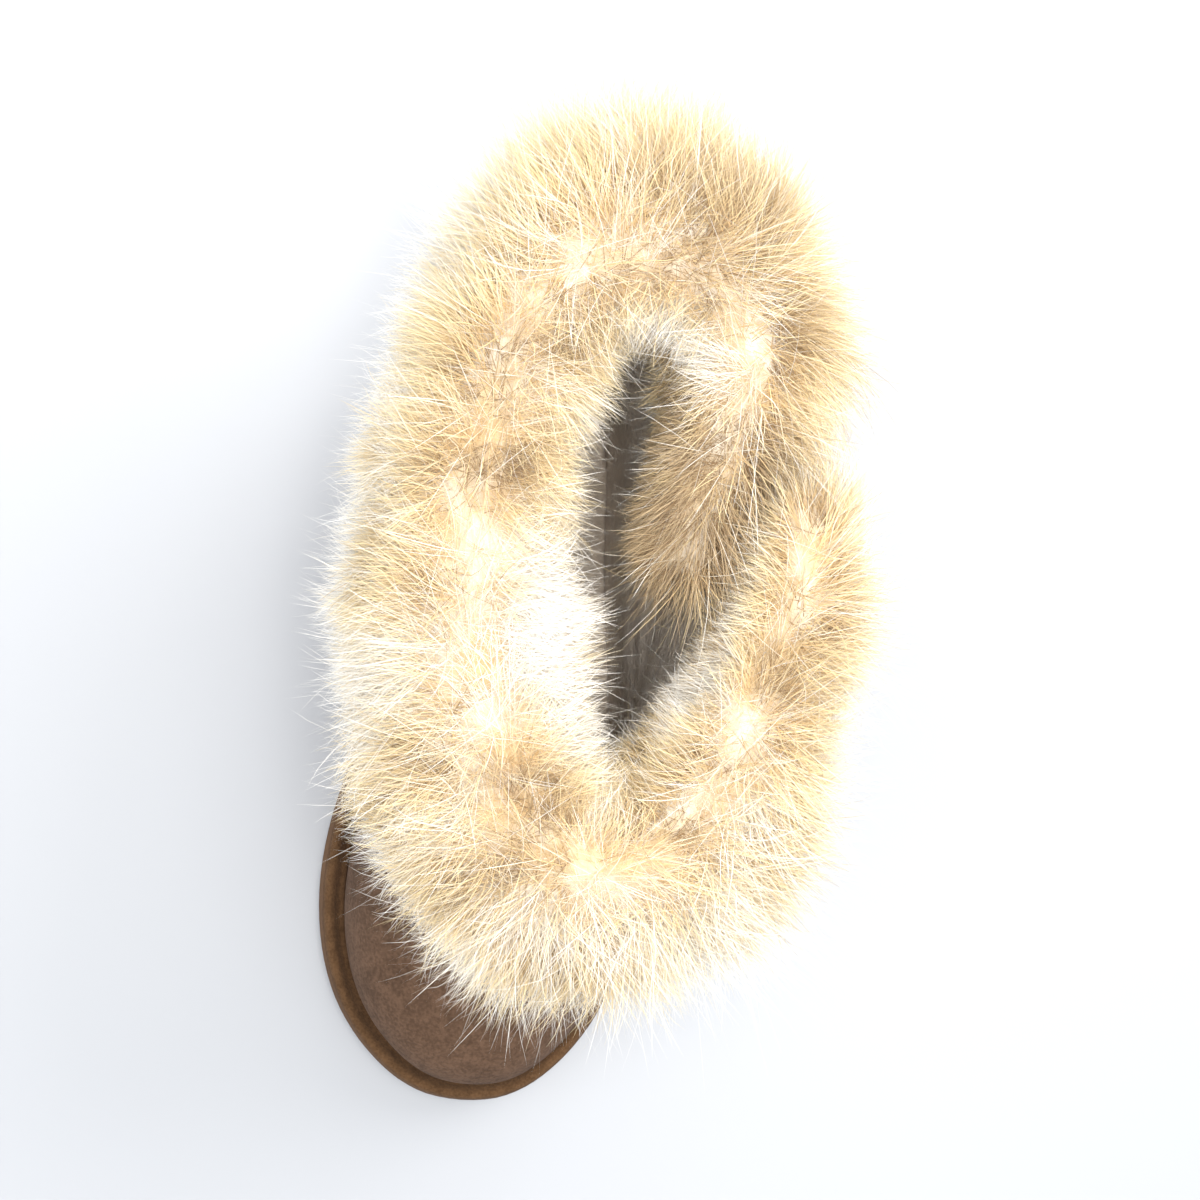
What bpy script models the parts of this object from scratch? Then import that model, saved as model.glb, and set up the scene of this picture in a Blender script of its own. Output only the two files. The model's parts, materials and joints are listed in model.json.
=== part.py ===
# Sheepskin boot for the left foot, with a deep fur cuff that is open on its outer side.
# Metres, +Z up. The toe points along -Y and the outer side of the foot is +X.
# The origin is on the floor under the middle of the heel.
import math
import random
from collections import namedtuple

import bmesh
import bpy
import numpy as np
from mathutils import Vector

# Driving sizes of the upper
LAST_LENGTH = 0.2515  # featherline of the upper, heel to toe
BALL_WIDTH = 0.098  # upper across the ball of the foot
SHAFT_RISE = 0.185  # from the top of the sole to the top edge of the shaft
WALL = 0.007  # sheepskin, hide and clipped wool together
SLIT_DEPTH = 0.062  # slit in the outer side of the shaft, down from its top edge
SLIT_GAP = 0.003  # how far the slit stands open low down
SLIT_LAP = 0.030  # how far the rear flap passes behind the front one at the top
SLIT_TUCK = 0.026  # how far the rear flap turns in at the top
SLIT_FLARE = 0.011  # how far the front flap turns out at the top
FIT_GAP = 0.0003  # between pieces that meet

# Driving sizes of the bottom
SOLE_THICK = 0.015
SOLE_MARGIN = 0.0095  # sole edge beyond the featherline
SOLE_ROUND = 0.005  # how far the tread's edge is drawn in
TOE_SPRING = 0.007
HEEL_LIFT = 0.004  # extra thickness of the sole under the heel
ARCH_RISE = 0.003  # waist of the tread above the floor
TREAD_DEPTH = 0.002
TREAD_WIDTH = 0.0035
TREAD_PITCH = 0.0125
WELT_HEIGHT = 0.0055
WELT_GROOVE = 0.0020  # floor of the groove beside the upper, above the sole
WELT_SETBACK = 0.0009  # welt edge inside the sole edge
INSOLE_THICK = 0.005
INSOLE_ROUND = 0.0015  # how far its top edge is drawn in

# Driving sizes of the fur cuff
FUR_DEPTH = 0.030  # pelt in front of the shaft, where it is thickest, without its locks
FUR_RISE = 0.026  # crown of the cuff above the wall
CUFF_DROP = 0.070  # hem of the cuff below the top edge of the shaft
PELT_GAP = 0.0010  # between the wall and the pelt that straddles it
LOCK_LENGTH = 0.013
LOCK_SPREAD = 0.35  # share by which one lock is longer or shorter than the next
LOCK_TURN = 0.30  # how far a lock may turn aside, beside an outward reach of 1
END_LOCK = 0.35  # share of LOCK_LENGTH on the two ends of the cuff
END_NAP = 0.20  # downward lean of those locks

HEEL_MIDDLE = 0.16 * LAST_LENGTH  # from the back of the featherline to the origin
SPRING_START = 0.74 * LAST_LENGTH
HEEL_END = 0.32  # share of the length where the heel's tread stops
BALL_START = 0.57  # share where the forefoot's tread starts
SHAFT_RADIUS = LAST_LENGTH / 3  # about that of the shaft in plan
SLIT_ANGLE = math.radians(255)  # 0 is the toe, 90 the inner side, 180 the heel
GAP_END = 0.35  # share of the slit, from its foot, where its edges stand apart
LAP_START = 0.30  # share of the slit where the flaps start to pass each other
TUCK_START = 0.84  # share of the way round where the rear flap starts to turn in
FLARE_END = 0.14  # share of the way round where the front flap is back in line
COLUMNS = 48
STEPS = 2  # mesh rows for each row of the ring table

# Half widths of the foot on each side of its middle, and how far the middle bends over
# to the outer side (+), as shares of half the ball width
Plan = namedtuple("Plan", "along medial lateral middle")
FOOT_PLAN = [
    Plan(0.00, 1.00, 1.00, 0.00),
    Plan(0.12, 0.91, 0.92, 0.00),
    Plan(0.25, 0.77, 0.80, 0.00),
    Plan(0.37, 0.74, 0.81, 0.00),
    Plan(0.50, 0.82, 0.91, -0.01),
    Plan(0.62, 0.98, 1.01, -0.03),
    Plan(0.72, 1.11, 1.08, -0.06),
    Plan(0.81, 1.19, 1.13, -0.08),
    Plan(0.91, 1.22, 1.16, -0.09),
    Plan(1.00, 1.10, 1.06, -0.09),
]

# Rings of the upper: ends as shares of the length, rises as shares of SHAFT_RISE, width
# as a share of the ball width, lean to the outer side as a share of half of it, and shaft
# is 0 where the foot rules the plan and 1 in the shaft
Ring = namedtuple("Ring", "level back back_rise front front_rise width lean shaft")
RINGS = [
    Ring(0, 0.000, 0.000, 1.000, 0.000, 0.950, 0.00, 0.00),
    Ring(1, -0.010, 0.060, 1.002, 0.060, 0.975, 0.00, 0.00),
    Ring(2, -0.014, 0.130, 0.997, 0.125, 0.978, 0.00, 0.00),
    Ring(3, -0.012, 0.200, 0.962, 0.192, 0.956, 0.00, 0.04),
    Ring(4, -0.005, 0.270, 0.892, 0.250, 0.930, 0.00, 0.12),
    Ring(5, 0.002, 0.340, 0.806, 0.304, 0.908, 0.00, 0.28),
    Ring(6, 0.006, 0.410, 0.722, 0.370, 0.892, 0.01, 0.50),
    Ring(7, 0.005, 0.480, 0.640, 0.450, 0.870, 0.02, 0.72),
    Ring(8, 0.000, 0.560, 0.584, 0.545, 0.858, 0.03, 0.88),
    Ring(9, -0.007, 0.660, 0.562, 0.655, 0.856, 0.05, 1.00),
    Ring(10, -0.015, 0.770, 0.570, 0.770, 0.862, 0.07, 1.00),
    Ring(11, -0.024, 0.885, 0.600, 0.885, 0.870, 0.09, 1.00),
    Ring(12, -0.034, 1.000, 0.640, 1.000, 0.880, 0.11, 1.00),
]

# Rings of the sole: set in from its edge as a share of SOLE_ROUND, and height as a share
# of its thickness
SoleRing = namedtuple("SoleRing", "inset height")
SOLE_RINGS = [
    SoleRing(1.00, 0.00),
    SoleRing(0.32, 0.10),
    SoleRing(0.08, 0.30),
    SoleRing(0.32, 0.42),
    SoleRing(0.32, 0.50),
    SoleRing(0.00, 0.60),
    SoleRing(0.00, 0.86),
    SoleRing(0.24, 1.00),
]

# Welt section, from its outer foot over its top to the groove beside the upper: out as a
# share of its width, up as a share of its height
WeltPoint = namedtuple("WeltPoint", "out up")
WELT_SECTION = [
    WeltPoint(0.95, 0.00),
    WeltPoint(1.00, 0.36),
    WeltPoint(0.96, 0.74),
    WeltPoint(0.83, 0.96),
    WeltPoint(0.66, 0.98),
    WeltPoint(0.50, 0.78),
    WeltPoint(0.38, 0.42),
]

# Fur cuff round the collar, from the front flap (0) past toe and heel to the rear flap (1):
# outer and inner thickness as shares of FUR_DEPTH, drops as shares of CUFF_DROP, crown of
# FUR_RISE, and locks of LOCK_LENGTH
Pelt = namedtuple("Pelt", "at outer drop crown inner inner_drop lock")
PELT = [
    Pelt(0.00, 0.33, 0.80, 0.62, 0.13, 0.29, 0.50),
    Pelt(0.06, 0.47, 0.94, 0.81, 0.20, 0.34, 0.80),
    Pelt(0.16, 0.67, 0.99, 0.92, 0.33, 0.40, 1.00),
    Pelt(0.29, 1.00, 1.01, 0.96, 0.50, 0.43, 1.05),
    Pelt(0.42, 0.70, 1.00, 1.00, 0.70, 0.46, 1.00),
    Pelt(0.54, 0.50, 1.00, 1.00, 0.57, 0.46, 1.00),
    Pelt(0.66, 0.53, 1.00, 0.96, 0.40, 0.43, 1.00),
    Pelt(0.79, 0.93, 0.99, 0.92, 0.33, 0.40, 1.05),
    Pelt(0.87, 0.57, 0.86, 0.85, 0.23, 0.39, 0.90),
    Pelt(0.93, 0.20, 0.46, 0.69, 0.17, 0.43, 0.42),
    Pelt(1.00, 0.13, 0.31, 0.46, 0.13, 0.49, 0.34),
]

# Pelt section from the outer hem over the crown to the inner hem. Side is 1 outside and -1
# inside, depth a share of the drop, reach of the thickness, rise of the crown, and nap
# the downward lean of its locks
Station = namedtuple("Station", "side depth reach rise nap lock")
PELT_SECTION = [
    Station(1, 1.00, 0.30, 0.00, 0.9, 0.80),
    Station(1, 0.92, 0.74, 0.00, 0.9, 1.00),
    Station(1, 0.72, 1.00, 0.00, 0.8, 1.00),
    Station(1, 0.48, 1.05, 0.00, 0.7, 1.00),
    Station(1, 0.24, 1.02, 0.00, 0.5, 1.00),
    Station(1, 0.04, 0.93, 0.15, 0.2, 1.00),
    Station(1, 0.00, 0.62, 0.64, 0.0, 0.90),
    Station(1, 0.00, 0.20, 0.96, 0.0, 0.80),
    Station(-1, 0.00, 0.20, 0.96, 0.0, 0.75),
    Station(-1, 0.00, 0.62, 0.66, 0.1, 0.60),
    Station(-1, 0.05, 0.94, 0.18, 0.4, 0.50),
    Station(-1, 0.36, 1.00, 0.00, 0.7, 0.45),
    Station(-1, 0.70, 0.86, 0.00, 0.8, 0.45),
    Station(-1, 1.00, 0.34, 0.00, 0.8, 0.45),
]

COLOURS = {
    "upper": (0.17, 0.088, 0.052, 1.0),
    "welt": (0.16, 0.080, 0.038, 1.0),
    "outsole": (0.15, 0.075, 0.036, 1.0),
    "insole": (0.32, 0.25, 0.18, 1.0),
    "fur_cuff": (0.86, 0.68, 0.42, 1.0),
}


def clear_scene():
    for obj in list(bpy.data.objects):
        bpy.data.objects.remove(obj)


def smooth_step(value):
    value = min(max(value, 0.0), 1.0)
    return value * value * (3 - 2 * value)


def through(rows, key, column, where):
    # Smooth curve through a table's column, read at one place of its key column
    keys = [getattr(row, key) for row in rows]
    values = [getattr(row, column) for row in rows]
    where = min(max(where, keys[0]), keys[-1])
    last = len(rows) - 1
    i = min(max(int(np.searchsorted(keys, where, side="right")) - 1, 0), last - 1)

    def slope(k):
        a, b = max(k - 1, 0), min(k + 1, last)
        return (values[b] - values[a]) / (keys[b] - keys[a])

    span = keys[i + 1] - keys[i]
    t = (where - keys[i]) / span
    start, end = slope(i) * span, slope(i + 1) * span
    return (
        values[i] * (1 + 2 * t) * (1 - t) ** 2
        + start * t * (1 - t) ** 2
        + values[i + 1] * t * t * (3 - 2 * t)
        + end * t * t * (t - 1)
    )


def spring(s):
    # Lift of the bottom at a distance s along the last: only the toe leaves the floor
    run = max(s - SPRING_START, 0.0) / (LAST_LENGTH - SPRING_START)
    return TOE_SPRING * run * run


def sole_top(s):
    # The sole thins from the heel, through the waist, to the forefoot
    heel = 1 - smooth_step((s / LAST_LENGTH - HEEL_END) / (BALL_START - HEEL_END))
    return SOLE_THICK + HEEL_LIFT * heel + spring(s)


def arch(s):
    # The waist of the tread stands clear of the floor between heel and forefoot
    share = (s / LAST_LENGTH - HEEL_END) / (BALL_START - HEEL_END)
    return ARCH_RISE * math.sin(math.pi * share) ** 2 if 0 < share < 1 else 0.0


def ring_point(angle, level):
    # Outer face of the upper at an angle round the foot and a level up the ring table
    ring = {c: through(RINGS, "level", c, level) for c in Ring._fields[1:]}
    along = (1 + math.cos(angle)) / 2
    s = LAST_LENGTH * (ring["back"] + (ring["front"] - ring["back"]) * along)
    side = "medial" if math.sin(angle) > 0 else "lateral"
    foot = through(FOOT_PLAN, "along", side, s / LAST_LENGTH)
    blend = ring["shaft"]
    roundness = 0.80 + 0.10 * blend
    reach = abs(math.sin(angle)) ** roundness * (foot + (1 - foot) * blend)
    middle = through(FOOT_PLAN, "along", "middle", s / LAST_LENGTH) * (1 - blend)
    across = middle + ring["lean"] - math.copysign(reach, math.sin(angle)) * ring["width"]
    x = across * BALL_WIDTH / 2
    rise = ring["back_rise"] + (ring["front_rise"] - ring["back_rise"]) * along
    foot_height = SOLE_THICK + (sole_top(s) - SOLE_THICK) * (1 - blend)
    return np.array([x, HEEL_MIDDLE - s, foot_height + rise * SHAFT_RISE])


def is_whole(row):
    # True for a row that runs right round, False where the slit opens it
    return np.linalg.norm(row[0] - row[-1]) < 1e-9


def flat_normals(row):
    # Outward normals of a row, lying level
    run = np.gradient(row, axis=0)
    if is_whole(row):
        run[0] = run[-1] = (row[1] - row[-2]) / 2
    normals = np.stack([-run[:, 1], run[:, 0], np.zeros(len(row))], axis=1)
    return normals / np.linalg.norm(normals, axis=1)[:, None]


def slit_share(z):
    # 0 at the foot of the slit and below, 1 at the top edge of the shaft
    top = SOLE_THICK + SHAFT_RISE
    return min(max((z - top + SLIT_DEPTH) / SLIT_DEPTH, 0.0), 1.0)


def upper_row(level):
    # One row of the upper's outer face, COLUMNS + 1 points from the slit round to the slit
    q = slit_share(ring_point(math.pi, level)[2])
    low = min(q / GAP_END, 1.0)
    lap = SLIT_LAP * smooth_step((q - LAP_START) / (1 - LAP_START))
    lap -= SLIT_GAP * 4 * low * (1 - low)
    turn = 2 * math.pi + lap / SHAFT_RADIUS
    shares = np.arange(COLUMNS + 1) / COLUMNS
    row = np.array([ring_point(SLIT_ANGLE + turn * f, level) for f in shares])
    normals = flat_normals(row)
    for j, f in enumerate(shares):
        tuck = SLIT_TUCK * smooth_step((f - TUCK_START) / (1 - TUCK_START)) * q
        flare = SLIT_FLARE * smooth_step(1 - f / FLARE_END) * q
        row[j] += normals[j] * (flare - tuck)
    return row


def grid_normals(grid):
    # Outward normals of a grid of rows and columns, level along its bottom row
    up = np.gradient(grid, axis=0)
    normals = np.empty_like(grid)
    for i, row in enumerate(grid):
        run = np.gradient(row, axis=0)
        if is_whole(row):
            run[0] = run[-1] = (row[1] - row[-2]) / 2
            up[i, 0] = up[i, -1] = (up[i, 0] + up[i, -1]) / 2
        cross = np.cross(up[i], run)
        normals[i] = cross / np.linalg.norm(cross, axis=1)[:, None]
    normals[0] = flat_normals(grid[0])
    return normals


def build_wall():
    levels = np.linspace(0, RINGS[-1].level, RINGS[-1].level * STEPS + 1)
    outer = np.array([upper_row(level) for level in levels])
    outer[0, :, 2] += FIT_GAP
    normals = grid_normals(outer)
    return outer, normals


def wall_below_top(wall, column, depth):
    # Point and level normal on a column of the wall's outer face, a depth below its top
    outer, normals = wall
    top = outer[-1, column, 2]
    heights = outer[:, column, 2]
    i = int(np.searchsorted(heights, top - depth, side="right")) - 1
    i = min(max(i, 0), len(heights) - 2)
    t = (top - depth - heights[i]) / (heights[i + 1] - heights[i])
    point = outer[i, column] * (1 - t) + outer[i + 1, column] * t
    normal = normals[i, column] * (1 - t) + normals[i + 1, column] * t
    return point, normal / np.linalg.norm(normal)


def link_mesh(name, bm):
    # Joins what meets, turns the faces outwards and makes an object of the mesh
    bmesh.ops.remove_doubles(bm, verts=bm.verts[:], dist=1e-7)
    bmesh.ops.recalc_face_normals(bm, faces=bm.faces[:])
    mesh = bpy.data.meshes.new(name)
    bm.to_mesh(mesh)
    bm.free()
    obj = bpy.data.objects.new(name, mesh)
    bpy.context.scene.collection.objects.link(obj)
    return obj


def add_object(name, bm, smooth=True):
    obj = link_mesh(name, bm)
    mesh = obj.data
    if smooth:
        mesh.shade_smooth()
        mesh.set_sharp_from_angle(angle=math.radians(40))
    material = bpy.data.materials.new(name)
    material.use_nodes = True
    shader = material.node_tree.nodes["Principled BSDF"]
    shader.inputs["Base Color"].default_value = COLOURS[name]
    shader.inputs["Roughness"].default_value = 0.9
    mesh.materials.append(material)
    return obj


def add_grid(bm, grid, closed=False):
    # Faces between the rows and columns of a grid of points, and its vertices
    verts = [[bm.verts.new(point) for point in row] for row in grid]
    columns = len(grid[0])
    for low, high in zip(verts, verts[1:]):
        for j in range(columns if closed else columns - 1):
            k = (j + 1) % columns
            bm.faces.new((low[j], low[k], high[k], high[j]))
    return verts


def add_level_cap(bm, ring):
    # Strips from side to side across a ring whose first vertex is at the toe
    count = len(ring)
    for j in range(count // 2):
        corners = [ring[j], ring[j + 1], ring[count - j - 1], ring[-j]]
        unique = [v for i, v in enumerate(corners) if v not in corners[:i]]
        bm.faces.new(unique)


def featherline(offset):
    # Plan of the last at the featherline, toe first, moved outwards by an offset
    angles = [2 * math.pi * j / COLUMNS for j in range(COLUMNS)]
    ring = np.array([ring_point(angle, 0) for angle in angles])
    run = np.roll(ring, -1, axis=0) - np.roll(ring, 1, axis=0)
    out = np.stack([-run[:, 1], run[:, 0], np.zeros(COLUMNS)], axis=1)
    out /= np.linalg.norm(out, axis=1)[:, None]
    centre = ring.mean(axis=0)
    out *= np.sign(np.sum(out * (ring - centre), axis=1).sum())
    return ring + out * offset


def set_heights(ring, height):
    # Gives each point of a ring the height that a function gives for its place on the last
    return [(x, y, height(HEEL_MIDDLE - y)) for x, y, _ in ring]


def make_upper(wall):
    outer, normals = wall
    inner = outer - normals * WALL
    bm = bmesh.new()
    skin = add_grid(bm, outer)
    lining = add_grid(bm, inner)
    for row in (0, -1):
        for j in range(COLUMNS):
            bm.faces.new((skin[row][j], skin[row][j + 1], lining[row][j + 1], lining[row][j]))
    for i in range(len(outer) - 1):
        if is_whole(outer[i + 1]):
            continue  # the slit starts above this row
        for edge in (0, -1):
            bm.faces.new((skin[i][edge], skin[i + 1][edge], lining[i + 1][edge], lining[i][edge]))
    return add_object("upper", bm)


def tread_cutter():
    # Curved bars across the tread, bowed towards the toe, joined in one cutter
    bm = bmesh.new()
    half = BALL_WIDTH  # each bar runs out past both sides of the sole
    bow = 0.6 * TREAD_PITCH  # of a bar's middle towards the toe
    first = 0.04 * LAST_LENGTH
    last = 0.93 * LAST_LENGTH
    count = int((last - first) / TREAD_PITCH)
    for n in range(count + 1):
        s = first + n * TREAD_PITCH
        waist = HEEL_END - 0.01 < s / LAST_LENGTH < BALL_START
        if waist or abs(s - HEEL_MIDDLE) < TREAD_PITCH * 0.75:
            continue  # the middle of the heel stays whole, and so does the waist
        lift = spring(s) - TREAD_DEPTH
        section = []
        for across in np.linspace(-1, 1, 7):
            middle = HEEL_MIDDLE - s + bow * (across * across * 4 - 1)
            x = across * half
            low, high = middle - TREAD_WIDTH / 2, middle + TREAD_WIDTH / 2
            top, bottom = lift + 2 * TREAD_DEPTH, lift - 2 * TREAD_DEPTH
            section.append([(x, low, bottom), (x, high, bottom), (x, high, top), (x, low, top)])
        verts = add_grid(bm, section, closed=True)
        bm.faces.new(verts[0])
        bm.faces.new(verts[-1])
    cutter = link_mesh("tread_cutter", bm)
    cutter.hide_render = True
    cutter.display_type = "WIRE"
    return cutter


def make_outsole():
    bm = bmesh.new()
    rings = []
    for row in SOLE_RINGS:
        plan = featherline(SOLE_MARGIN - row.inset * SOLE_ROUND)

        def height(s, share=row.height):
            low = spring(s) + arch(s)
            return low + share * (sole_top(s) - low)

        rings.append(set_heights(plan, height))
    rings.append(set_heights(featherline(0), sole_top))
    verts = add_grid(bm, rings, closed=True)
    add_level_cap(bm, verts[0])
    add_level_cap(bm, verts[-1])
    sole = add_object("outsole", bm)
    cut = sole.modifiers.new("tread", "BOOLEAN")
    cut.operation = "DIFFERENCE"
    cut.object = tread_cutter()
    return sole


def make_welt(wall):
    # A bound strip round the foot of the upper, on the rim of the sole
    outer, normals = wall
    width = SOLE_MARGIN - WELT_SETBACK
    out = flat_normals(outer[0])
    sections = []
    for j in range(COLUMNS):
        foot = outer[0, j]
        lean = outer[1, j] - foot
        clear = FIT_GAP * (out[j] + normals[1, j])
        head = foot + lean * (WELT_GROOVE / lean[2]) + clear
        section = [head, foot + clear]
        for point in WELT_SECTION:
            spot = foot + out[j] * (width * point.out)
            spot[2] = sole_top(HEEL_MIDDLE - spot[1]) + FIT_GAP + point.up * WELT_HEIGHT
            section.append(spot)
        sections.append(section)
    bm = bmesh.new()
    sections.append(sections[0])
    add_grid(bm, sections, closed=True)
    return add_object("welt", bm)


def make_insole():
    edge = -(WALL + 2 * FIT_GAP)
    rows = [(edge, 0.0), (edge, 0.6), (edge - INSOLE_ROUND, 1.0)]  # offset, share of thickness
    bm = bmesh.new()
    rings = []
    for offset, share in rows:

        def height(s, share=share):
            return sole_top(s) + FIT_GAP + share * INSOLE_THICK

        rings.append(set_heights(featherline(offset), height))
    verts = add_grid(bm, rings, closed=True)
    add_level_cap(bm, verts[0])
    add_level_cap(bm, verts[-1])
    return add_object("insole", bm)


def pelt_column(wall, column):
    # One section of the cuff: its face against the wall, and its furred face
    share = {c: through(PELT, "at", c, column / COLUMNS) for c in Pelt._fields[1:]}
    top, normal = wall_below_top(wall, column, 0.0)
    top = top + np.array([0, 0, PELT_GAP])
    across = [(top + normal * PELT_GAP), (top - normal * (WALL + PELT_GAP))]
    crown = [s for s in PELT_SECTION if s.depth == 0]
    against, furred = [], []
    for station in PELT_SECTION:
        outside = station.side > 0
        if station.depth == 0:
            over = crown.index(station) / (len(crown) - 1)
            base = across[0] * (1 - over) + across[1] * over
            facing, start = normal, across[0 if outside else 1]
        else:
            drop = CUFF_DROP * share["drop" if outside else "inner_drop"]
            base, facing = wall_below_top(wall, column, station.depth * drop)
            base = base + facing * (PELT_GAP if outside else -(WALL + PELT_GAP))
            start = base
        thick = FUR_DEPTH * share["outer" if outside else "inner"]
        reach = facing * (station.side * station.reach * thick)
        against.append(base)
        furred.append(start + reach + np.array([0, 0, station.rise * share["crown"] * FUR_RISE]))
    return np.array(against), np.array(furred)


def add_lock(bm, corners, direction, length):
    # A pointed lock of fur, fused on in place of the face under it
    middle = sum((v.co for v in corners), Vector()) / len(corners)
    tip = bm.verts.new(middle + direction.normalized() * length)
    for a, b in zip(corners, corners[1:] + corners[:1]):
        bm.faces.new((a, b, tip))


def face_out(corners, towards):
    a, b, c, d = (v.co for v in corners)
    normal = (c - a).cross(d - b).normalized()
    return normal if normal.dot(towards) > 0 else -normal


def make_fur_cuff(wall):
    draw = random.Random(11)
    columns = [pelt_column(wall, j) for j in range(COLUMNS + 1)]
    bm = bmesh.new()
    against = add_grid(bm, [column[0] for column in columns])
    furred = [[bm.verts.new(point) for point in column[1]] for column in columns]
    stations = len(PELT_SECTION)

    def lock(corners, towards, lean, share):
        spread = Vector([draw.uniform(-LOCK_TURN, LOCK_TURN) for _ in range(3)])
        direction = face_out(corners, towards) + spread + Vector((0, 0, -lean))
        length = LOCK_LENGTH * share * (1 + draw.uniform(-LOCK_SPREAD, LOCK_SPREAD))
        add_lock(bm, corners, direction, length)

    for j in range(COLUMNS):
        for k in range(stations - 1):
            row, step = PELT_SECTION[k], PELT_SECTION[k + 1]
            corners = [furred[j][k], furred[j + 1][k], furred[j + 1][k + 1], furred[j][k + 1]]
            middle = sum((v.co for v in corners), Vector()) / 4
            base = sum((v.co for v in (against[j][k], against[j + 1][k + 1])), Vector()) / 2
            long = through(PELT, "at", "lock", (j + 0.5) / COLUMNS)
            lock(corners, middle - base, (row.nap + step.nap) / 2, row.lock * long)
        for hem in (0, -1):
            bm.faces.new((furred[j][hem], furred[j + 1][hem], against[j + 1][hem], against[j][hem]))
    for end, before in ((0, 1), (-1, -2)):
        for k in range(stations - 1):
            corners = [furred[end][k], furred[end][k + 1], against[end][k + 1], against[end][k]]
            towards = furred[end][k].co - furred[before][k].co
            lock(corners, towards, END_NAP, END_LOCK)
    return add_object("fur_cuff", bm, smooth=False)


def main():
    clear_scene()
    wall = build_wall()
    make_outsole()
    make_welt(wall)
    make_insole()
    make_upper(wall)
    make_fur_cuff(wall)


main()
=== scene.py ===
import json
import math

import bmesh
import bpy
import numpy as np
from mathutils import Matrix, Vector, kdtree, noise

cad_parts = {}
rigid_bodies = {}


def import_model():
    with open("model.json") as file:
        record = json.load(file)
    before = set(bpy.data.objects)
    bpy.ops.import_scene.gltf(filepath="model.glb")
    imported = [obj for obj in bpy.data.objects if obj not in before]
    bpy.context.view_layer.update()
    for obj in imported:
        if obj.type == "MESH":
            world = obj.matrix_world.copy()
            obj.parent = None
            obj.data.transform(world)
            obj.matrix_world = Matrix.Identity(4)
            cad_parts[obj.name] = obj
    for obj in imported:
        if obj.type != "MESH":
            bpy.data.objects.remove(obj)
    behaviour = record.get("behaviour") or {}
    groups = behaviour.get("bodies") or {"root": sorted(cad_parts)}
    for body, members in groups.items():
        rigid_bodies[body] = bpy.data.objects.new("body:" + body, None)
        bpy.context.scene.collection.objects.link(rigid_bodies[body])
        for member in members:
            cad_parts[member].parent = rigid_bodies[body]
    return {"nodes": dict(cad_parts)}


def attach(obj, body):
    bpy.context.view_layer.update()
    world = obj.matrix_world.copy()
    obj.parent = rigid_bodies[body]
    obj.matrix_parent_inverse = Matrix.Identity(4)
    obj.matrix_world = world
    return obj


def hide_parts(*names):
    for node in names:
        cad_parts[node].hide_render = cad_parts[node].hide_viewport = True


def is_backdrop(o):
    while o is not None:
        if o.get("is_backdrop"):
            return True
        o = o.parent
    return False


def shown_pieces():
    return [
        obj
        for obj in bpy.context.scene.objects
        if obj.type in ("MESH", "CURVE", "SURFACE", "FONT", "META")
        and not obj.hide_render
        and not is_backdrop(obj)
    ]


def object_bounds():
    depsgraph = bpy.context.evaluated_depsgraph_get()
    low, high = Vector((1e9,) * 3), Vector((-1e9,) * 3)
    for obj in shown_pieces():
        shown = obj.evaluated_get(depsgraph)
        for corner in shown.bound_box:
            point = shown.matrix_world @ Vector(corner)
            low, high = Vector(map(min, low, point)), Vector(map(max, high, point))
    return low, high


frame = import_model()
cadBox = [list(corner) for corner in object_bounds()]
scene = bpy.context.scene
print("frame loaded")

# The camera looks down on the open top of the boot, with the toe at the bottom of the picture
cameraView = {
    "place": (-0.0720, -0.0478, 0.760),
    "aim": (0.0097, -0.0440, 0.150),  # middle of the boot
    "turn": math.radians(5.65),  # tilt of the boot in the picture
    "lens": 63.84,
    "sensor": 36.0,
    "nearest": 0.01,
}

studio = {
    "floorSize": 30.0,
    "floorTone": (0.53, 0.545, 0.575, 1.0),
    "floorRoughness": 0.6,
    "skyTone": (0.96, 0.98, 1.0, 1.0),
    "skyStrength": 0.74,
    # place, aim, size, power, colour
    "lamps": [
        ((0.75, 0.65, 1.15), (0.0, -0.03, 0.12), 0.9, 13.0, (1.0, 0.985, 0.96)),
        ((-0.95, -0.35, 0.95), (0.0, -0.05, 0.10), 0.9, 4.0, (0.94, 0.97, 1.0)),
        ((0.05, 0.02, 1.35), (0.01, -0.03, 0.10), 0.5, 4.0, (1.0, 0.99, 0.97)),
        ((-0.06, -0.05, 0.95), (0.01, -0.04, 0.05), 0.22, 3.8, (1.0, 0.985, 0.96)),
        ((0.10, 1.00, 0.85), (0.0, 0.05, 0.18), 0.8, 5.0, (1.0, 0.99, 0.97)),
    ],
}


def deselectAll():
    bpy.ops.object.select_all(action="DESELECT")


def pick(piece):
    deselectAll()
    piece.select_set(True)
    bpy.context.view_layer.objects.active = piece


def makeCamera():
    view = cameraView
    data = bpy.data.cameras.new("camera")
    data.lens = view["lens"]
    data.sensor_width = view["sensor"]
    data.clip_start = view["nearest"]
    camera = bpy.data.objects.new("camera", data)
    scene.collection.objects.link(camera)
    down = Vector((0, 0, -1))
    towards = (Vector(view["aim"]) - Vector(view["place"])).normalized()
    tip = down.rotation_difference(towards).to_matrix()  # tips the level camera to the boot
    turn = Matrix.Rotation(view["turn"], 3, "Z")
    camera.matrix_world = Matrix.Translation(view["place"]) @ (tip @ turn).to_4x4()
    scene.camera = camera


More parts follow.
